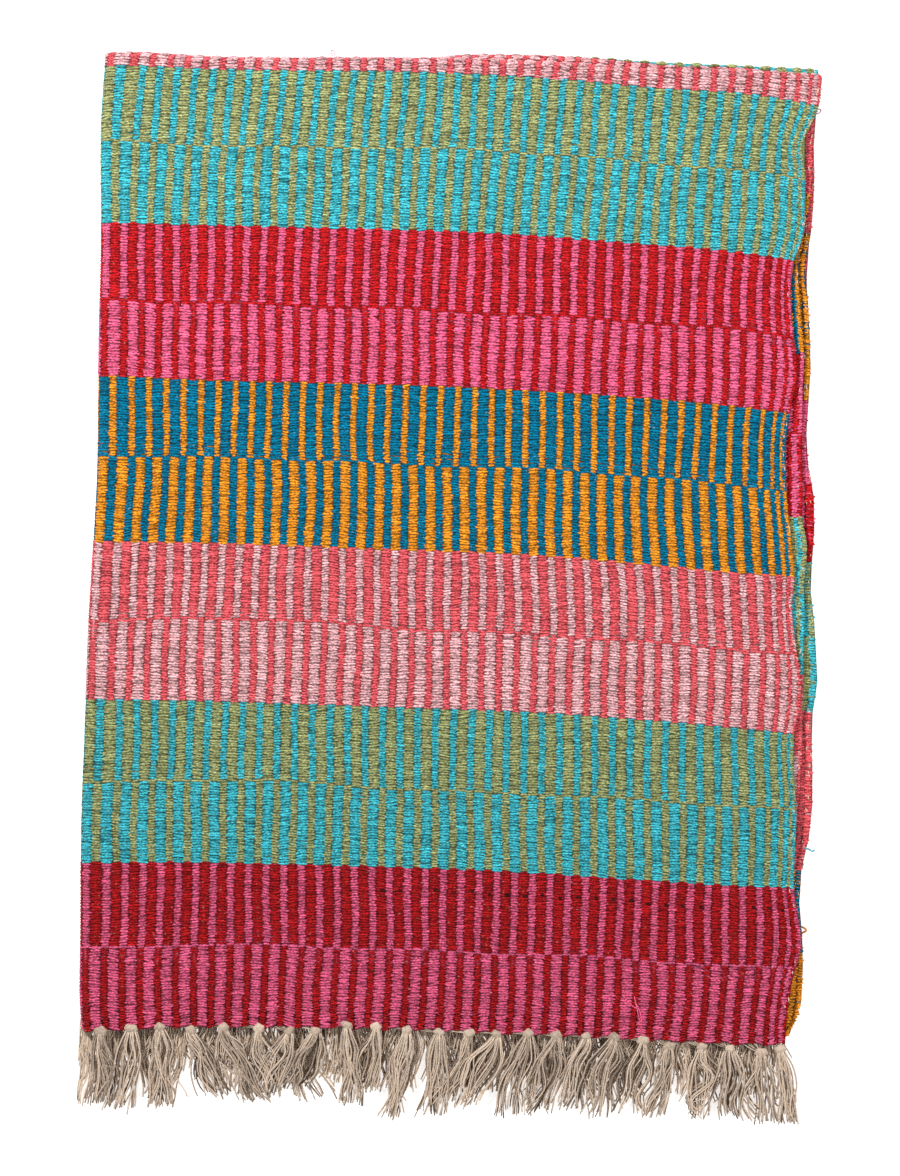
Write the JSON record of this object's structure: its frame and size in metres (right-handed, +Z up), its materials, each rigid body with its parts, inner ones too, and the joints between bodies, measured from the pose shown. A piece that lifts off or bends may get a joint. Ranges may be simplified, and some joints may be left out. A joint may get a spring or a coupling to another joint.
{
  "type": "throw blanket",
  "caption": "Thick ribbed throw blanket in two-colour bands, folded in four and laid flat, with knotted tassel fringes at its lower edge.",
  "frame": {"origin": "on the surface the folded blanket lies on, under the middle of its outline", "axes": "+Y from the fringe to the crest fold, along the blanket's folded length; +Z up out of the front face; -X side is the second fold, +X side the selvedges"},
  "size_m": [0.6771, 0.9771, 0.0238],
  "materials": {
    "woven_cloth": "matte ribbed weave in bands of two yarns: red and pink, green and turquoise, salmon and dusty pink, petrol and orange",
    "fringe_yarn": "undyed matte warp yarn, knotted into tassels"
  },
  "bodies": {
    "root": {"cloth": "woven_cloth", "fringe_front_end": "fringe_yarn", "fringe_back_end": "fringe_yarn"}
  },
  "joints": []
}
